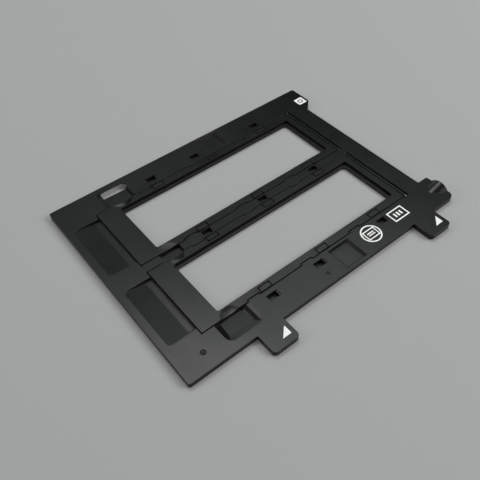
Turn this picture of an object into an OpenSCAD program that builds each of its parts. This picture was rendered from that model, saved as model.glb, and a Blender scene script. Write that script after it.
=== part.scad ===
// Two-lane film holder for roll film: a moulded base plate with two long windows,
// a hinged cover frame over each lane, hinge pins, height feet and printed marks.
// X runs along the film, Y across the lanes, +Z up, underside of the feet at z = 0.
// The origin is the bottom centre of the whole holder.

/* [Film lanes] */
// Width of the film strip
film_w = 61.5; // [50:0.5:75]
// Strip of film edge under each side of a cover window
film_edge = 1.15; // [0.5:0.05:4]
// Side play of the film in its channel
film_play = 0.6; // [0.3:0.1:1.5]
// Depth of the film channel below the cover seat
channel_deep = 0.35; // [0.2:0.05:0.6]
// Length of the window in each cover
window_l = 197.6; // [140:0.1:240]
// Ledge of the base inside the left end of a cover window
ledge_left = 1.4; // [0.5:0.1:3]
// Ledge of the base inside the right end of a cover window
ledge_right = 3.8; // [0.5:0.1:5]
// Ledge of the base inside the front of a cover window
ledge_front = 1.6; // [0.5:0.1:3]
// Ledge of the base inside the back of a cover window
ledge_back = 3; // [0.5:0.1:5]
// Corner radius of the windows
window_r = 2.6; // [1:0.1:6]
// Width of the rib between the two covers
lane_gap = 9.6; // [8:0.1:16]

/* [Base plate] */
// Thickness of the base moulding
base_t = 4.8; // [4.6:0.1:8]
// Thickness of the top skin over the hollow underside
skin_t = 1.9; // [1.5:0.1:2.5]
// Thickness of the ribs and side walls underneath
rib_t = 1.8; // [1.2:0.1:3]
// Rail in front of the front cover
front_rail = 28.4; // [28:0.1:40]
// Rail behind the back cover
back_rail = 28.4; // [28:0.1:40]
// Plate left of the covers, where the film goes in
entry_l = 31.9; // [28:0.1:50]
// Plate right of the hinge axis
hinge_rail = 20.5; // [18:0.1:40]
// Corner radius of the plate
corner_r = 1.8; // [0.5:0.1:6]

/* [Film entry ramps] */
// Flat margin left of the entry ramps
well_x = 6.1; // [4:0.1:8]
// Length of the flat strip between a ramp and its cover
flat_l = 5.6; // [2:0.1:8]
// Corner radius of the outer end of a ramp
well_r = 4; // [1:0.5:8]

/* [Covers] */
// Thickness of a cover frame
cover_t = 2.4; // [2:0.1:3]
// Depth of the seat that a cover lies in
seat_deep = 2.5; // [2.2:0.1:2.8]
// Gap under a closed cover
seat_gap = 0.25; // [0.15:0.05:0.4]
// Gap round the edges of a cover
side_gap = 0.9; // [0.3:0.05:1.2]
// Plate of a cover left of its window
end_plate = 20; // [16:0.1:30]
// Plate of a cover between its window and the hinge axis
hinge_plate = 8.8; // [8:0.1:16]
// Front rail of a cover
cover_front = 7.5; // [6:0.1:12]
// Back rail of a cover
cover_back = 7.1; // [6:0.1:12]
// Width of a locating notch in a cover edge
notch_l = 12.6; // [8:0.1:16]
// Depth of a locating notch in a cover edge
notch_in = 1.7; // [1:0.1:2.2]
// First locating notch from the left edge of a cover
notch_first = 50.2; // [46:0.1:60]
// Last locating notch from the hinge axis
notch_last = 65.2; // [56:0.1:80]
// Length of a spring tongue in a cover rail
tongue_l = 10.1; // [8:0.1:14]
// Width of a spring tongue, from the cover edge inwards
tongue_w = 5.5; // [3:0.1:5.6]
// Width of the slits and the groove round a tongue
slit_w = 0.9; // [0.6:0.1:1]
// Depth of the groove at the root of a tongue
root_deep = 1.4; // [0.5:0.1:1.6]
// Set-back of the free edge of a tongue
tongue_back = 0.4; // [0.1:0.1:0.8]
// First latch station from the left edge of a cover
station_first = 63.4; // [60:0.1:80]
// Last latch station from the hinge axis
station_last = 39.3; // [30:0.1:50]
// Length of the finger dishes in the cover edges
dish_l = 18.4; // [12:0.1:18.6]
// Depth of the finger dishes
dish_deep = 1.5; // [0.8:0.1:2]
// Depth of the shallow dish in the front edge of the back cover
low_dish_deep = 0.5; // [0.2:0.1:1]
// Centre of a finger dish beyond the cover edge
dish_out = 2.2; // [0:0.1:4]

/* [Hinges] */
// Radius of a cover's hinge barrel
barrel_r = 1.6; // [1.3:0.05:2]
// Radius of a hinge pin
pin_r = 0.8; // [0.5:0.05:0.9]
// Running clearance between pin and barrel
pin_clear = 0.05; // [0.02:0.01:0.1]
// Clearance between pin and the sockets in the base
socket_clear = 0.02; // [0.01:0.01:0.05]
// Length of a pin in each socket
socket_l = 2.4; // [1.5:0.1:3]
// Free space beyond each end of a barrel
hinge_end = 1.3; // [0.6:0.1:1.8]
// Play on the right of a cover that stands open
groove_play = 0.15; // [0.1:0.05:0.6]
// Play on the left of a hinge barrel
barrel_play = 0.5; // [0.3:0.1:1]
// Clear space under a barrel
groove_under = 0.3; // [0.2:0.05:0.5]
// Length of the slot between a barrel and its cover plate
barrel_slot = 14.5; // [6:0.5:20]
// Width of the bead between a barrel and the groove on its left
bead_w = 0.3; // [0.2:0.1:1]

/* [Finger scoops] */
// Length of a scoop floor
scoop_l = 20.4; // [14:0.1:30]
// Start of a scoop floor, right of the cover's left edge
scoop_at = 16.2; // [12:0.1:20]
// Run of the left and near walls of a scoop
scoop_wall = 5.7; // [2:0.1:6]
// Run of the ramp at the right end of the front scoop
scoop_ramp = 7.2; // [4:0.1:12]
// Depth of the front scoop at its near end
near_deep = 2.4; // [1.5:0.1:3]
// Depth of the scoops beside the covers
scoop_deep = 3.2; // [2.6:0.1:3.4]
// Depth of the scoop in the rib
rib_scoop_deep = 3.6; // [2.6:0.1:3.8]
// Corner radius of the scoops
scoop_r = 7; // [2:0.1:9]
// Distance of the scoops from the front and back edges
scoop_edge = 7.8; // [6:0.1:12]
// Width of the slot through the back scoop
slot_w = 5.6; // [5:0.1:8]
// Distance of the slot from the back edge
slot_edge = 6.6; // [5:0.1:9]

/* [Holes and pockets] */
// Length of a square latch hole
hole_l = 9.4; // [6:0.1:12]
// Width of a square latch hole
hole_w = 6; // [4:0.1:6.4]
// Depth of a square latch hole
hole_deep = 4; // [2:0.1:4]
// Distance of the outer latch holes from the covers
hole_at = 5.1; // [4:0.1:12]
// Length of a finger pocket
pocket_l = 23; // [14:0.1:30]
// Width of the finger pockets
pocket_w = 23; // [12:0.1:23.4]
// Depth of the finger pockets
pocket_deep = 2.4; // [0.8:0.1:2.6]
// Run of the sloping right wall of a finger pocket
pocket_run = 3; // [0.5:0.1:5]
// Lip between a finger pocket and the edge of the plate
pocket_lip = 2.2; // [1.5:0.1:3.6]
// Diameter of the small pip on the front rail
pip_d = 3; // [1.5:0.1:4]
// Height of the pip
pip_h = 0.8; // [0.3:0.1:1.2]

/* [Ears and tabs] */
// Length of the two tabs on the front edge
tab_l = 24.9; // [18:0.1:36]
// Reach of the two tabs
tab_out = 19.5; // [12:0.1:30]
// Left end of the left tab
left_tab_x = 61.9; // [50:0.1:90]
// Gap from the right end of the right tab to the plate's right edge
right_tab_gap = 17.7; // [10:0.1:30]
// Corner radius of the tabs
tab_r = 3.6; // [1:0.1:6]
// Corner radius of the front ear
ear_r = 5.5; // [2:0.1:8]
// Reach of the two ears on the right edge
ear_out = 11.4; // [8:0.1:16]
// Width of the front ear
front_ear_w = 31; // [28:0.1:40]
// Width of the straight part of the back ear
back_ear_w = 25; // [20:0.1:40]
// Width of the sloping part of the back ear
ear_slope = 11.4; // [6:0.1:20]
// Width of the hump on the front ear
hump_w = 18.2; // [12:0.1:24]
// Height of the hump on the front ear
hump_h = 4.8; // [2:0.1:6]
// Length of the hump
hump_l = 13.4; // [12:0.1:26]
// Middle of the hump from the front edge
hump_y = 16.1; // [12:0.1:20]

/* [Feet] */
// Height of the feet
foot_h = 0.8; // [0.5:0.1:3]
// Radius of the feet
foot_r = 4.5; // [3:0.1:6]
// Radius of a foot's stud
stud_r = 1.7; // [1:0.1:2]
// Length of the hidden studs
stud_l = 2.4; // [1.5:0.1:2.6]
// Clearance of a stud in its hole
stud_clear = 0.02; // [0.01:0.01:0.05]
// Distance of the feet from the front and back edges
foot_y = 14.6; // [12:0.1:18]
// Distance of the left feet from the left edge
foot_x = 23; // [12:0.1:24]
// Distance of the right feet from the right edge
foot_right = 9.2; // [8:0.1:12]

/* [Printed marks] */
// Thickness of the printed marks
ink_t = 0.08; // [0.05:0.01:0.2]
// Leg of the arrow marks on the tabs
arrow_leg = 8.2; // [6:0.1:14]
// Arrow mark from the right end of its tab
arrow_in = 3.9; // [2:0.1:6]
// Arrow mark from the outer end of its tab
arrow_up = 5.9; // [3:0.1:8]
// Diameter of the round mark
round_d = 19; // [12:0.1:22]
// Round mark from the plate's right edge
round_x = 78.8; // [60:0.1:100]
// Framed mark from the plate's right edge
frame_x = 43.9; // [30:0.1:50]
// Length of the framed mark
frame_l = 17.6; // [10:0.1:20]
// Width of the framed mark
frame_w = 12.2; // [8:0.1:16]
// Side of the square mark
square_s = 10.1; // [8:0.1:14]
// Width of the printed lines
line_w = 1.3; // [0.8:0.1:2.4]

/* [Hidden] */
$fn = 48;
cut = 1;          // how far a cut runs past the surface it opens
black = "#26282a";
white = "#f2f2ee";

// Heights
under_z = foot_h;                              // underside of the base moulding
top_z = under_z + base_t;                      // top of the base plate
seat_z = top_z - seat_deep;                    // seat of the covers
channel_z = seat_z - channel_deep;             // floor of the film channels
cover_z = seat_z + seat_gap;                   // underside of the closed covers
cover_top = cover_z + cover_t;                 // top of the closed covers
hinge_z = cover_top - barrel_r;                // hinge axis
groove_z = hinge_z - barrel_r - groove_under;  // floor of the hinge grooves
groove_right = 1.43 * barrel_r + groove_play;  // clear space right of a hinge axis
groove_left = barrel_r + barrel_play;          // clear space left of a hinge axis

// Places along X, from the plate's left edge
window_x = entry_l + end_plate;                // left edge of the cover windows
window_end = window_x + window_l;              // right edge of the cover windows
hinge_x = window_end + hinge_plate;            // hinge axis
base_l = hinge_x + hinge_rail;                 // right edge of the plate
overall_l = base_l + ear_out;                  // right edge of the ears
window_mid = window_x + window_l / 2;
scoop_x = entry_l + scoop_at;                  // left end of the scoop floors
scoop_end = scoop_x + scoop_l;                 // right end of the scoop floors
dish_x = scoop_x + scoop_l / 2 + 0.2;          // middle of the finger dishes
ramp_end = scoop_end + scoop_ramp;
scoop_under = 4;                               // how far a scoop runs under its cover
pocket_x = window_mid + 7.5;                   // left end of the finger pockets
right_tab_x = base_l - right_tab_gap - tab_l;
station_end = hinge_x - station_last;          // last latch station
station_step = (station_end - entry_l - station_first) / 2;
stations = [for (i = [0:2]) station_end - (2 - i) * station_step];
notch_end = hinge_x - notch_last;              // last locating notch
notch_step = (notch_end - entry_l - notch_first) / 2;
notches = [for (i = [0:2]) notch_end - (2 - i) * notch_step];

// Places along Y, from the plate's front edge
window_w = film_w - 2 * film_edge;                 // width of the cover windows
cover_w = cover_front + window_w + cover_back;
front_y = front_rail;                              // front edge of the front cover
back_y = front_rail + cover_w + lane_gap;          // front edge of the back cover
base_w = back_y + cover_w + back_rail;             // back edge of the plate
channel_w = film_w + 2 * film_play;                // width of the film channels
channel_in = cover_front + (window_w - channel_w) / 2;   // from a cover's front edge
slot_far = base_w - slot_edge;
slot_near = slot_far - slot_w;

// The model is drawn from the plate's front left corner and then moved
module placed() {
    translate([-overall_l / 2, -(base_w - tab_out) / 2, 0]) children();
}

// Box between two corners
module block(a, b) {
    translate(a) cube(b - a);
}

// Rounded rectangle of true arcs between two corners
module round_rect(a, b, r) {
    for (x = [a.x + r, b.x - r], y = [a.y + r, b.y - r])
        translate([x, y]) circle(r);
    translate([a.x + r, a.y]) square([b.x - a.x - 2 * r, b.y - a.y]);
    translate([a.x, a.y + r]) square([b.x - a.x, b.y - a.y - 2 * r]);
}

// Upright prism of a 2D shape between two heights
module prism(z0, z1) {
    translate([0, 0, z0]) linear_extrude(z1 - z0) children();
}

// ---- Base moulding ----

// Back ear: straight, then sloping back to the plate edge, with a rounded nose
module back_ear_outline() {
    r = 3;
    nose_y = base_w - back_ear_w;
    translate([base_l - r, base_w - back_ear_w])
        round_rect([0, 0], [ear_out + r, back_ear_w], corner_r);
    translate([base_l + ear_out - r, nose_y + 1]) circle(r);
    polygon([[base_l - cut, nose_y - ear_slope], [base_l, nose_y - ear_slope],
             [base_l + ear_out - 0.8, nose_y - 1.1],
             [base_l + ear_out - r, nose_y + r], [base_l - cut, nose_y + r]]);
}

// Plan of the plate with its tabs and ears
module plate_outline() {
    round_rect([0, 0], [base_l, base_w], corner_r);
    for (x = [left_tab_x, right_tab_x])
        round_rect([x, -tab_out], [x + tab_l, 2 * tab_r], tab_r);
    round_rect([base_l - 2 * ear_r, 0], [overall_l, front_ear_w], ear_r);
    round_rect([base_l - 2 * ear_r, ear_r], [overall_l, front_ear_w], corner_r);
    back_ear_outline();
}

// Round ridge that rises from the plate towards the outer end of the front ear
module hump() {
    r = (pow(hump_w / 2, 2) + pow(hump_h, 2)) / (2 * hump_h);
    intersection() {
        translate([overall_l, hump_y, top_z + hump_h])
            rotate([0, -atan(hump_h / hump_l), 0])
            translate([-2 * hump_l, 0, -r]) rotate([0, 90, 0])
            cylinder(r = r, h = 3 * hump_l, $fn = 96);
        block([overall_l - hump_l - cut, 0, top_z - cut],
              [overall_l - 0.1, front_ear_w, top_z + hump_h + cut]);
    }
}

// Everything that is cut out of the base for one lane, whose cover starts at y
module lane_cut(y) {
    ch0 = y + channel_in;
    ch1 = ch0 + channel_w;
    // Seat of the cover, with bumps left standing for its notches
    difference() {
        block([entry_l - side_gap, y - side_gap, seat_z],
              [hinge_x, y + cover_w + side_gap, top_z + cut]);
        for (x = notches) {
            block([x - notch_l / 2 + side_gap, y - side_gap - cut, seat_z - cut],
                  [x + notch_l / 2 - side_gap, y + notch_in - side_gap, top_z + 2 * cut]);
            block([x - notch_l / 2 + side_gap, y + cover_w - notch_in + side_gap, seat_z - cut],
                  [x + notch_l / 2 - side_gap, y + cover_w + side_gap + cut, top_z + 2 * cut]);
        }
    }
    // Film channel from the entry ramp to the hinge groove
    block([entry_l - cut, ch0, channel_z], [hinge_x, ch1, seat_z + cut]);
    // Entry: a long ramp from the plate's top down to a flat strip beside the cover
    intersection() {
        flat_x = entry_l - side_gap - flat_l;
        translate([0, ch1 + cut, 0]) rotate([90, 0, 0]) linear_extrude(channel_w + 2 * cut)
            polygon([[well_x, top_z], [flat_x, channel_z], [entry_l, channel_z],
                     [entry_l, top_z + cut], [well_x, top_z + cut]]);
        prism(channel_z - cut, top_z + 2 * cut)
            round_rect([well_x, ch0], [entry_l + 2 * well_r, ch1], well_r);
    }
    // Window
    prism(under_z - cut, top_z)
        round_rect([window_x + ledge_left, y + cover_front + ledge_front],
                   [window_end - ledge_right, y + cover_front + window_w - ledge_back], window_r);
    // Hinge groove and the sockets of the pin
    block([hinge_x - groove_left, y - hinge_end, groove_z],
          [hinge_x + groove_right, y + cover_w + hinge_end, top_z + cut]);
    translate([hinge_x, y - hinge_end - socket_l, hinge_z]) rotate([-90, 0, 0])
        cylinder(r = pin_r + socket_clear, h = cover_w + 2 * (hinge_end + socket_l));
}

// Scoop in the front rail: its floor sinks towards the cover, its left, near and right
// sides slope, and its corners are round
module front_scoop() {
    y0 = scoop_edge;
    y1 = front_y + scoop_under;
    floor_z = top_z - scoop_deep;
    near_z = top_z - near_deep;
    left = scoop_x - scoop_wall;
    intersection() {
        translate([0, y1 + scoop_r, 0]) rotate([90, 0, 0])
            linear_extrude(y1 - y0 + 2 * scoop_r)
            polygon([[scoop_x, floor_z], [scoop_end, floor_z],
                     [scoop_end + scoop_ramp / 4, top_z - 0.6 * scoop_deep],
                     [ramp_end - scoop_ramp / 3, top_z - 0.16 * scoop_deep],
                     [ramp_end, top_z], [ramp_end, top_z + cut],
                     [left, top_z + cut], [left, top_z]]);
        translate([left, 0, 0]) rotate([90, 0, 90])
            linear_extrude(scoop_l + scoop_wall + scoop_ramp)
            polygon([[y0 + scoop_wall, near_z], [front_y, floor_z], [y1, floor_z],
                     [y1, top_z + cut], [y0, top_z + cut], [y0, top_z]]);
        prism(floor_z, top_z + cut)
            round_rect([left, y0], [ramp_end, y1 + 2 * scoop_r], scoop_r);
    }
}

// Scoop in the back rail: a flat floor that opens into a slot through the plate
module back_scoop() {
    floor_z = top_z - scoop_deep;
    steep = 1.6;      // run of the right wall
    skin = 1;         // plate left over the hollow behind the slot
    left = scoop_x - scoop_wall + 1.2;
    y0 = back_y + cover_w - scoop_under;
    intersection() {
        translate([0, slot_far, 0]) rotate([90, 0, 0]) linear_extrude(slot_far - y0)
            polygon([[scoop_x, floor_z], [scoop_end + steep, floor_z],
                     [scoop_end + 2 * steep, top_z], [scoop_end + 2 * steep, top_z + cut],
                     [left, top_z + cut], [left, top_z]]);
        prism(floor_z, top_z + cut)
            polygon([[left, y0], [left, slot_far - 2], [left + 2, slot_far],
                     [scoop_end, slot_far], [scoop_end + 2 * steep, slot_far - 3],
                     [scoop_end + 2 * steep, y0]]);
    }
    // Slot through the plate with a slanting right end
    prism(under_z - cut, top_z + cut)
        polygon([[scoop_x, slot_near], [scoop_x, slot_far], [scoop_end + 0.6, slot_far],
                 [scoop_end + 5.4, slot_near + 1.2], [scoop_end + 2 * steep, slot_near - 1]]);
    // Hollow under the skin, open to the back
    block([scoop_x, slot_near, under_z - cut],
          [scoop_end + 9, base_w + cut, top_z - skin]);
}

// Finger scoops beside the covers' free ends, in both rails and in the rib
module scoop_cuts() {
    front_scoop();
    back_scoop();
    block([scoop_x + 0.5, front_y + cover_w - scoop_under / 2, top_z - rib_scoop_deep],
          [scoop_end, back_y + scoop_under / 2, top_z + cut]);
}

// Rows of latch holes: near edge of the holes and their shift along X at each station
rail_shift = [-0.9, -13, -0.9];
hole_rows = [[front_y - hole_at - hole_w, rail_shift],
             [back_y + cover_w + hole_at, rail_shift],
             [back_y - (lane_gap + hole_w) / 2, [0, 0, 0]]];

// Square latch holes along both rails and the rib, each with a shallow lead-in
module latch_holes() {
    lead = [1.3, 0.6];      // length and depth of the lead-in on the right of a hole
    for (row = hole_rows, i = [0:2]) {
        x = stations[i] - hole_l / 2 + row[1][i];
        block([x, row[0], top_z - hole_deep], [x + hole_l, row[0] + hole_w, top_z + cut]);
        block([x, row[0], top_z - lead.y],
              [x + hole_l + lead.x, row[0] + hole_w, top_z + cut]);
    }
}

// Shallow finger pockets in the rails, their right and back walls sloping
module finger_pockets() {
    back_run = 1.4;         // run of the sloping back wall
    floor_z = top_z - pocket_deep;
    right = pocket_x + pocket_l;
    for (y = [pocket_lip, base_w - pocket_lip - pocket_w]) intersection() {
        translate([0, y + pocket_w, 0]) rotate([90, 0, 0]) linear_extrude(pocket_w)
            polygon([[pocket_x, floor_z], [right - pocket_run, floor_z], [right, top_z],
                     [right, top_z + cut], [pocket_x, top_z + cut]]);
        translate([pocket_x, 0, 0]) rotate([90, 0, 90]) linear_extrude(pocket_l)
            polygon([[y, floor_z], [y + pocket_w - back_run, floor_z], [y + pocket_w, top_z],
                     [y + pocket_w, top_z + cut], [y, top_z + cut]]);
    }
}

// Centres of the feet: left or right, front or back
function foot_at(right, back) =
    [right ? base_l - foot_right : foot_x, back ? base_w - foot_y : foot_y];

// Blind holes for the foot studs; the front left one goes through to the top
module foot_sockets() {
    for (right = [false, true], back = [false, true])
        translate(concat(foot_at(right, back), under_z - cut))
            cylinder(r = stud_r + stud_clear,
                     h = (right || back ? stud_l + 0.2 : base_t + cut) + cut);
    translate(concat(foot_at(false, false), top_z - 0.7))
        cylinder(r = stud_r + 0.65, h = 0.7 + cut);
}

// Parts of the underside that stay solid: bosses, hole floors, pockets and scoops
module solid_zones() {
    for (right = [false, true], back = [false, true])
        translate(concat(foot_at(right, back), under_z - cut))
            cylinder(r = foot_r + rib_t, h = base_t + cut);
    for (row = [hole_rows[0], hole_rows[1]], i = [0:2]) {
        x = stations[i] - hole_l / 2 + row[1][i];
        block([x - rib_t, row[0] - rib_t, under_z - cut],
              [x + hole_l + rib_t, row[0] + hole_w + rib_t, top_z]);
    }
    for (y = [pocket_lip, base_w - pocket_lip - pocket_w])
        block([pocket_x - rib_t, y - rib_t, under_z - cut],
              [pocket_x + pocket_l + rib_t, y + pocket_w + rib_t, top_z]);
    for (y = [0, base_w - back_rail])
        block([scoop_x - scoop_wall - rib_t, y, under_z - cut],
              [ramp_end + rib_t, y + back_rail + front_rail, top_z]);
}

// Row of hollow cells between two corners, with ribs between them
module cell_row(a, b, n, along_y = false) {
    run = along_y ? b.y - a.y : b.x - a.x;
    pitch = (run + rib_t) / n;
    for (i = [0:n - 1]) {
        s = along_y ? [0, i * pitch] : [i * pitch, 0];
        e = along_y ? [b.x - a.x, pitch - rib_t] : [pitch - rib_t, b.y - a.y];
        block([a.x + s.x, a.y + s.y, under_z - cut],
              [a.x + s.x + e.x, a.y + s.y + e.y, top_z - skin_t]);
    }
}

// Hollow cells under the rails
module underside_cells() {
    difference() {
        union() {
            cell_row([rib_t, rib_t], [base_l - rib_t, front_y - side_gap - rib_t], 15);
            cell_row([rib_t, back_y + cover_w + side_gap + rib_t],
                     [base_l - rib_t, base_w - rib_t], 15);
            cell_row([hinge_x + groove_right + rib_t, front_ear_w],
                     [base_l - rib_t, back_y + cover_w - side_gap], 8, true);
        }
        solid_zones();
    }
}

module base_frame() {
    color(black) placed() {
        difference() {
            union() {
                prism(under_z, top_z) plate_outline();
                hump();
            }
            for (y = [front_y, back_y]) lane_cut(y);
            scoop_cuts();
            latch_holes();
            finger_pockets();
            foot_sockets();
            underside_cells();
            // Short witness groove beside the back ear
            translate([base_l - 5.2, base_w - 30.2, top_z]) rotate(-18)
                cube([9, 1.4, 2], center = true);
        }
        // Pip on the front rail
        translate([window_mid - 7.6, 9.1, top_z - cut / 5])
            cylinder(d1 = pip_d, d2 = pip_d - 1, h = pip_h + cut / 5);
    }
}

// ---- Covers ----

// Finger dish of a given depth cut into a cover edge, centred at y
module dish(y, deep) {
    r = (pow(dish_l / 2, 2) + pow(deep, 2)) / (2 * deep);
    translate([dish_x, y, cover_top - deep + r]) sphere(r, $fn = 96);
}

// Slits and root groove round a spring tongue at x, which ends at the edge y;
// side is 1 where the cover lies behind the edge and -1 where it lies in front
module tongue_cuts(x, y, side) {
    half = tongue_l / 2 + slit_w;
    root = y + side * tongue_w;
    for (x0 = [x - half, x + half - slit_w])
        block([x0, min(y - side * cut, root), cover_z - cut],
              [x0 + slit_w, max(y - side * cut, root), cover_top + cut]);
    block([x - half, min(root, root - side * slit_w), cover_top - root_deep],
          [x + half, max(root, root - side * slit_w), cover_top + cut]);
    block([x - half, min(y - side * cut, y + side * tongue_back), cover_z - cut],
          [x + half, max(y - side * cut, y + side * tongue_back), cover_top + cut]);
}

// Cover frame whose front edge is at y
module cover(y, front_dish_deep) {
    back = y + cover_w;
    color(black) placed() difference() {
        union() {
            difference() {
                block([entry_l, y, cover_z], [hinge_x, back, cover_top]);
                prism(cover_z - cut, cover_top + cut)
                    round_rect([window_x, y + cover_front],
                               [window_end, y + cover_front + window_w], window_r);
                for (x = notches) {
                    block([x - notch_l / 2, y - cut, cover_z - cut],
                          [x + notch_l / 2, y + notch_in, cover_top + cut]);
                    block([x - notch_l / 2, back - notch_in, cover_z - cut],
                          [x + notch_l / 2, back + cut, cover_top + cut]);
                }
                // Groove on top and slot through, left of the barrel
                groove_x = hinge_x - barrel_r - bead_w - slit_w;
                block([groove_x, y - cut, cover_top - root_deep],
                      [groove_x + slit_w, back + cut, cover_top + cut]);
                block([groove_x, y + (cover_w - barrel_slot) / 2, cover_z - cut],
                      [groove_x + slit_w, y + (cover_w + barrel_slot) / 2, cover_top + cut]);
            }
            translate([hinge_x, y, hinge_z]) rotate([-90, 0, 0])
                cylinder(r = barrel_r, h = cover_w);
        }
        translate([hinge_x, y - cut, hinge_z]) rotate([-90, 0, 0])
            cylinder(r = pin_r + pin_clear, h = cover_w + 2 * cut);
        dish(y - dish_out, front_dish_deep);
        dish(back + dish_out, dish_deep);
        for (x = stations) {
            tongue_cuts(x, y, 1);
            tongue_cuts(x, back, -1);
        }
    }
}

module front_cover() { cover(front_y, dish_deep); }
module back_cover() { cover(back_y, low_dish_deep); }

// ---- Hinge pins ----

// Pin through the barrel of the cover at y, its ends in the base sockets
module hinge_pin(y) {
    end_gap = 0.1;
    color("#6a6c6e") placed()
        translate([hinge_x, y - hinge_end - socket_l + end_gap, hinge_z]) rotate([-90, 0, 0])
        cylinder(r = pin_r, h = cover_w + 2 * (hinge_end + socket_l - end_gap));
}

module front_hinge_pin() { hinge_pin(front_y); }
module back_hinge_pin() { hinge_pin(back_y); }

// ---- Feet ----

// Round pad with a stud; a through stud shows a small hole in its top
module foot(right, back) {
    through = !right && !back;
    color(black) placed() translate(foot_at(right, back)) difference() {
        union() {
            cylinder(r1 = foot_r - 0.3, r2 = foot_r, h = foot_h);
            cylinder(r = stud_r, h = foot_h + (through ? base_t - 0.1 : stud_l));
        }
        if (through) translate([0, 0, foot_h + base_t - 1]) cylinder(r = 0.6, h = 2);
    }
}

module front_left_foot() { foot(false, false); }
module front_right_foot() { foot(true, false); }
module back_left_foot() { foot(false, true); }
module back_right_foot() { foot(true, true); }

// ---- Printed marks ----

// Ink layer of a 2D shape on the plate
module ink() {
    color(white) placed() prism(top_z, top_z + ink_t) children();
}

// Right-angled arrow on the tab that starts at x
module arrow_mark(x) {
    corner = [x + tab_l - arrow_in, arrow_up - tab_out];
    ink() polygon([corner, corner + [0, arrow_leg], corner - [arrow_leg, 0]]);
}

module left_arrow_mark() { arrow_mark(left_tab_x); }
module right_arrow_mark() { arrow_mark(right_tab_x); }

// Open rectangle of a given size and line width
module frame_shape(size, line) {
    difference() {
        square(size, center = true);
        square(size - [2 * line, 2 * line], center = true);
    }
}

// Ring round a plain film frame with two bars
module round_mark() {
    ink() translate([base_l - round_x, 15.9]) {
        difference() {
            circle(d = round_d);
            circle(d = round_d - 2 * line_w);
        }
        frame_shape([0.69 * round_d, 0.52 * round_d], 1.1);
        for (y = [-1, 1]) translate([0, 1.1 * y]) square([7.2, 1.2], center = true);
    }
}

// Frame with three plain bars
module framed_mark() {
    ink() translate([base_l - frame_x, 17]) {
        frame_shape([frame_l, frame_w], line_w);
        for (x = [-1, 0, 1]) translate([3.4 * x, 0]) square([1.8, 4.6], center = true);
    }
}

// Square on the back ear with an open ring
module square_mark() {
    ink() translate([base_l + 3.9, base_w - 20.6]) difference() {
        round_rect([-square_s / 2, -square_s / 2], [square_s / 2, square_s / 2], 1.2);
        difference() {
            circle(d = 0.58 * square_s);
            circle(d = 0.34 * square_s);
        }
    }
}

base_frame();
front_cover();
back_cover();
front_hinge_pin();
back_hinge_pin();
front_left_foot();
front_right_foot();
back_left_foot();
back_right_foot();
left_arrow_mark();
right_arrow_mark();
round_mark();
framed_mark();
square_mark();
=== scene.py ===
"""Flatbed scanner film holder for two strips of roll film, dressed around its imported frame."""

import math

import bmesh
import bpy

from mathutils import Matrix, Vector

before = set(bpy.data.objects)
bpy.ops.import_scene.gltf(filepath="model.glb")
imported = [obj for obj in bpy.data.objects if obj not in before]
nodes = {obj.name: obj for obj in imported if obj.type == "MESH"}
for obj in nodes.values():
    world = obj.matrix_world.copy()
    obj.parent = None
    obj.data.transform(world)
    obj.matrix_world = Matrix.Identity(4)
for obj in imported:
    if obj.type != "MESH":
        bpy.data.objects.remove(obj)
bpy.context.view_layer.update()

# --- Camera -------------------------------------------------------------------------------
# It stands off the front left corner and looks down over the plate at a little less than
# fifty degrees, through a slightly long lens.
camera_place = Vector((-0.22806, -0.27083, 0.37021))
to_right = Vector((0.7792, -0.6264, -0.0243))
to_top = Vector((0.4834, 0.5758, 0.6594))
to_back = Vector((-0.3990, -0.5255, 0.7514))
camera_data = bpy.data.cameras.new("camera")
camera_data.lens, camera_data.sensor_width = 43.25, 36.0  # millimetres
camera_data.clip_start, camera_data.clip_end = 0.01, 20.0
camera = bpy.data.objects.new("camera", camera_data)
bpy.context.scene.collection.objects.link(camera)
camera_turn = Matrix((to_right, to_top, to_back)).transposed().to_4x4()
camera.matrix_world = Matrix.Translation(camera_place) @ camera_turn
bpy.context.scene.camera = camera
bpy.context.scene.view_settings.view_transform = "Standard"

# --- Table top and studio light -----------------------------------------------------------
# A matte grey sheet on a table, in a dim room with seven soft boxes round it. The largest
# lights the side walls from the front right, and the others put the sheen on the plate.
floor_reach = 3.0  # from the middle to each side
floor_mesh = bmesh.new()
bmesh.ops.create_grid(floor_mesh, x_segments=1, y_segments=1, size=floor_reach)
floor_data = bpy.data.meshes.new("studio_floor")
floor_mesh.to_mesh(floor_data)
floor_mesh.free()
floor = bpy.data.objects.new("studio_floor", floor_data)
bpy.context.scene.collection.objects.link(floor)


def put(node, values):
    """Set a node's unlinked sockets."""
    for socket, value in values.items():
        node.inputs[socket].default_value = value


def new_finish(name):
    """New material, with its node tree and its shader."""
    material = bpy.data.materials.new(name)
    material.use_nodes = True
    tree = material.node_tree
    return material, tree, tree.nodes["Principled BSDF"]


paper, _, paper_shader = new_finish("matte_paper")
put(paper_shader, {"Base Color": (0.34, 0.342, 0.343, 1), "Roughness": 0.9})
put(paper_shader, {"Specular IOR Level": 0.1})
put(paper_shader, {"Emission Color": (1, 1, 1, 1), "Emission Strength": 0.06})
floor_data.materials.append(paper)

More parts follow.
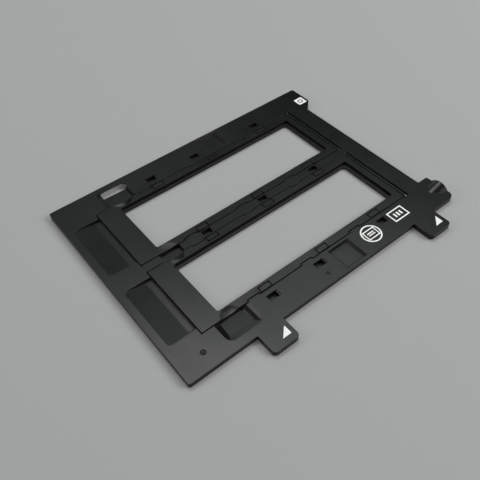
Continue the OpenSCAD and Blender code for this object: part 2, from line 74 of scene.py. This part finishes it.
lamp_distance = 2.5
white, pale_green, green = (1, 1, 1), (0.92, 1, 0.98), (0.85, 1, 0.96)
soft_boxes = (
    # name, azimuth and elevation in degrees, width and height in metres, watts, tint
    ("ceiling_lamp", 72, 70, 0.8, 0.8, 18.0, white),
    ("right_panel", 318, 38, 1.6, 1.2, 42.0, white),
    ("left_panel", 150, 28, 0.9, 0.8, 13.0, white),
    ("back_panel", 30, 57, 0.9, 0.9, 7.8, pale_green),
    ("far_panel", 85, 50, 1.0, 0.9, 1.8, green),
    ("high_spot", 109, 59, 0.5, 0.4, 2.6, white),
    ("low_strip", 66, 22, 0.7, 0.35, 3.6, pale_green),
)
for name, azimuth, elevation, width, height, watts, tint in soft_boxes:
    turn, rise = math.radians(azimuth), math.radians(elevation)
    level = math.cos(rise)
    place = Vector((math.cos(turn) * level, math.sin(turn) * level, math.sin(rise)))
    place *= lamp_distance
    light = bpy.data.lights.new(name, "AREA")
    light.shape = "RECTANGLE"
    light.size, light.size_y = width, height
    light.energy = watts
    light.color = tint
    lamp = bpy.data.objects.new(name, light)
    lamp.location = place
    lamp.rotation_euler = (-place).to_track_quat("-Z", "Y").to_euler()
    bpy.context.scene.collection.objects.link(lamp)

room = bpy.data.worlds.new("studio")
room.use_nodes = True
put(room.node_tree.nodes["Background"], {"Color": (1, 1, 1, 1), "Strength": 0.016})
bpy.context.scene.world = room

# --- Base plate ---------------------------------------------------------------------------
# The plate is one injection moulding in black ABS, with a fine spark-eroded grain, faint
# flow clouds, small rounded edges that handling has polished, and duller corners.
plastic_gloss = 0.29  # specular level
grain_scale, grain_height, grain_strength = 2400, 0.00005, 0.22
cloud_scale, cloud_detail, cloud_contrast = 38, 5, (0.3, 0.7)
cloud_sheen = (-0.03, 0.04)  # change of roughness from cloud to cloud
cloud_tones = (0.85, 1.2)  # darkest and palest cloud, times the tint
rubbed_tone = 1.8  # rubbed edge, times the tint
polish = 0.06  # how much smoother a rubbed edge is
grime = 0.35  # how much rougher a deep corner is
corner_reach = 0.004
worn_lean = (0.995, 0.80)  # cosine of the lean where wear begins, and where it is full
open_sky = (0.6, 0.95)  # free sky over a grimy corner, and over a clean face


def noise(tree, vector, scale, detail):
    """Noise read at a vector in metres; scale is its bumps per metre."""
    node = tree.nodes.new("ShaderNodeTexNoise")
    put(node, {"Scale": scale, "Detail": detail})
    tree.links.new(vector, node.inputs["Vector"])
    return node


def ranged(tree, value, span, result=(0.0, 1.0)):
    """Value mapped from the two ends of span to those of result."""
    node = tree.nodes.new("ShaderNodeMapRange")
    put(node, {"From Min": span[0], "From Max": span[1]})
    put(node, {"To Min": result[0], "To Max": result[1]})
    tree.links.new(value, node.inputs["Value"])
    return node.outputs["Result"]


def bumped(tree, height, strength, distance):
    """Bump node over a height."""
    node = tree.nodes.new("ShaderNodeBump")
    put(node, {"Strength": strength, "Distance": distance})
    tree.links.new(height, node.inputs["Height"])
    return node


def mixed(tree, factor, colours):
    """Colour mix node between two colours; None leaves a colour to be linked."""
    node = tree.nodes.new("ShaderNodeMix")
    node.data_type = "RGBA"
    for socket, colour in zip("AB", colours):
        if colour is not None:
            put(node, {socket: (*colour, 1)})
    tree.links.new(factor, node.inputs["Factor"])
    return node


def shaded(colour, amount):
    """Colour made lighter or darker."""
    return [channel * amount for channel in colour]


def moulded_plastic(name, tint, rough, edge, shift):
    """Black moulded plastic; edge is its edge radius, shift moves its clouds in x and y."""
    material, tree, shader = new_finish(name)
    link = tree.links.new
    put(shader, {"Specular IOR Level": plastic_gloss})
    place = tree.nodes.new("ShaderNodeMapping")
    put(place, {"Location": (*shift, 0)})
    link(tree.nodes.new("ShaderNodeTexCoord").outputs["Object"], place.inputs["Vector"])

    # spark-eroded grain over rounded edges
    rounded = tree.nodes.new("ShaderNodeBevel")
    rounded.samples = 6
    put(rounded, {"Radius": edge})
    grain = noise(tree, place.outputs["Vector"], grain_scale, 3)
    bump = bumped(tree, grain.outputs["Fac"], grain_strength, grain_height)
    link(rounded.outputs["Normal"], bump.inputs["Normal"])
    link(bump.outputs["Normal"], shader.inputs["Normal"])

    # wear, from how far the rounded edge leans from its face
    surface = tree.nodes.new("ShaderNodeNewGeometry")
    lean = tree.nodes.new("ShaderNodeVectorMath")
    lean.operation = "DOT_PRODUCT"
    link(rounded.outputs["Normal"], lean.inputs[0])
    link(surface.outputs["True Normal"], lean.inputs[1])
    worn = ranged(tree, lean.outputs["Value"], worn_lean)

    # sheen: cloudy, smoother on worn edges, rough in corners and under edges
    clouds = noise(tree, place.outputs["Vector"], cloud_scale, cloud_detail)
    put(clouds, {"Roughness": 0.65})
    sheens = [rough + change for change in cloud_sheen]
    cloudy = ranged(tree, clouds.outputs["Fac"], cloud_contrast, sheens)
    polished = tree.nodes.new("ShaderNodeMath")
    polished.operation = "MULTIPLY_ADD"
    link(worn, polished.inputs[0])
    polished.inputs[1].default_value = -polish
    link(cloudy, polished.inputs[2])
    corner = tree.nodes.new("ShaderNodeAmbientOcclusion")
    corner.samples = 8
    put(corner, {"Distance": corner_reach})
    grimy = tree.nodes.new("ShaderNodeMath")
    link(polished.outputs["Value"], grimy.inputs[0])
    link(ranged(tree, corner.outputs["AO"], open_sky, (grime, 0.0)), grimy.inputs[1])
    link(grimy.outputs["Value"], shader.inputs["Roughness"])

    # tone: cloudy, paler on worn edges
    tone = mixed(tree, clouds.outputs["Fac"], [shaded(tint, t) for t in cloud_tones])
    rubbed = mixed(tree, worn, (None, shaded(tint, rubbed_tone)))
    link(tone.outputs["Result"], rubbed.inputs["A"])
    link(rubbed.outputs["Result"], shader.inputs["Base Color"])
    return material


nodes["base_frame"].data.materials[0] = moulded_plastic(
    "base_plastic", (0.0050, 0.0053, 0.0054), rough=0.30, edge=0.0004, shift=(0, 0)
)

# --- Covers -------------------------------------------------------------------------------
# Two thin hinged frames, moulded in the same black plastic as the plate, each with its
# own flow clouds and with slightly crisper edges.
nodes["front_cover"].data.materials[0] = moulded_plastic(
    "front_cover_plastic", (0.0053, 0.0056, 0.0057), rough=0.30, edge=0.0003, shift=(0.37, 0.629)
)
nodes["back_cover"].data.materials[0] = moulded_plastic(
    "back_cover_plastic", (0.0051, 0.0054, 0.0055), rough=0.30, edge=0.0003, shift=(0.81, 1.377)
)

# --- Hinge pins ---------------------------------------------------------------------------
# Two lengths of bright drawn steel wire, pressed into the plate's sockets, with the
# die's fine lines along them.
line_scale = (9000, 40, 9000)  # lines per metre across, along and across the wire
line_height = 0.00001
steel_tones = ((0.27, 0.27, 0.28), (0.38, 0.38, 0.39))
pin_steel, steel_tree, steel = new_finish("drawn_steel")
put(steel, {"Metallic": 1.0})
along = steel_tree.nodes.new("ShaderNodeMapping")
put(along, {"Scale": line_scale})
wire_place = steel_tree.nodes.new("ShaderNodeTexCoord").outputs["Object"]
steel_tree.links.new(wire_place, along.inputs["Vector"])
die_lines = noise(steel_tree, along.outputs["Vector"], 1.0, 4).outputs["Fac"]
steel_sheen = ranged(steel_tree, die_lines, (0, 1), (0.22, 0.42))
steel_tone = mixed(steel_tree, die_lines, steel_tones)
steel_lines = bumped(steel_tree, die_lines, 0.3, line_height)
steel_tree.links.new(steel_sheen, steel.inputs["Roughness"])
steel_tree.links.new(steel_tone.outputs["Result"], steel.inputs["Base Color"])
steel_tree.links.new(steel_lines.outputs["Normal"], steel.inputs["Normal"])
for pin in ("front_hinge_pin", "back_hinge_pin"):
    nodes[pin].data.materials[0] = pin_steel

# --- Feet ---------------------------------------------------------------------------------
# Four round pads pressed into the underside, moulded in a duller grade of the same black
# plastic.
foot_plastic = moulded_plastic(
    "foot_plastic", (0.006, 0.006, 0.0064), rough=0.46, edge=0.00025, shift=(1.3, 2.21)
)
for foot in ("front_left_foot", "front_right_foot", "back_left_foot", "back_right_foot"):
    nodes[foot].data.materials[0] = foot_plastic

# --- Printed marks ------------------------------------------------------------------------
# Two arrows, a ring, a frame and a square in white ink, pad-printed on the plate. The ink
# covers a little unevenly and has a fine orange-peel surface.
peel_scale, peel_height = 900, 0.00003
ink_tones = ((0.84, 0.84, 0.82), (0.96, 0.96, 0.94))  # thin and full cover
white_ink, ink_tree, ink = new_finish("white_ink")
ink_place = ink_tree.nodes.new("ShaderNodeTexCoord").outputs["Object"]
ink_cover = noise(ink_tree, ink_place, peel_scale, 4).outputs["Fac"]
ink_tone = mixed(ink_tree, ink_cover, ink_tones)
ink_peel = bumped(ink_tree, ink_cover, 0.2, peel_height)
ink_sheen = ranged(ink_tree, ink_cover, (0, 1), (0.42, 0.62))
ink_tree.links.new(ink_tone.outputs["Result"], ink.inputs["Base Color"])
ink_tree.links.new(ink_peel.outputs["Normal"], ink.inputs["Normal"])
ink_tree.links.new(ink_sheen, ink.inputs["Roughness"])
for mark in ("left_arrow_mark", "right_arrow_mark", "round_mark", "framed_mark", "square_mark"):
    nodes[mark].data.materials[0] = white_ink
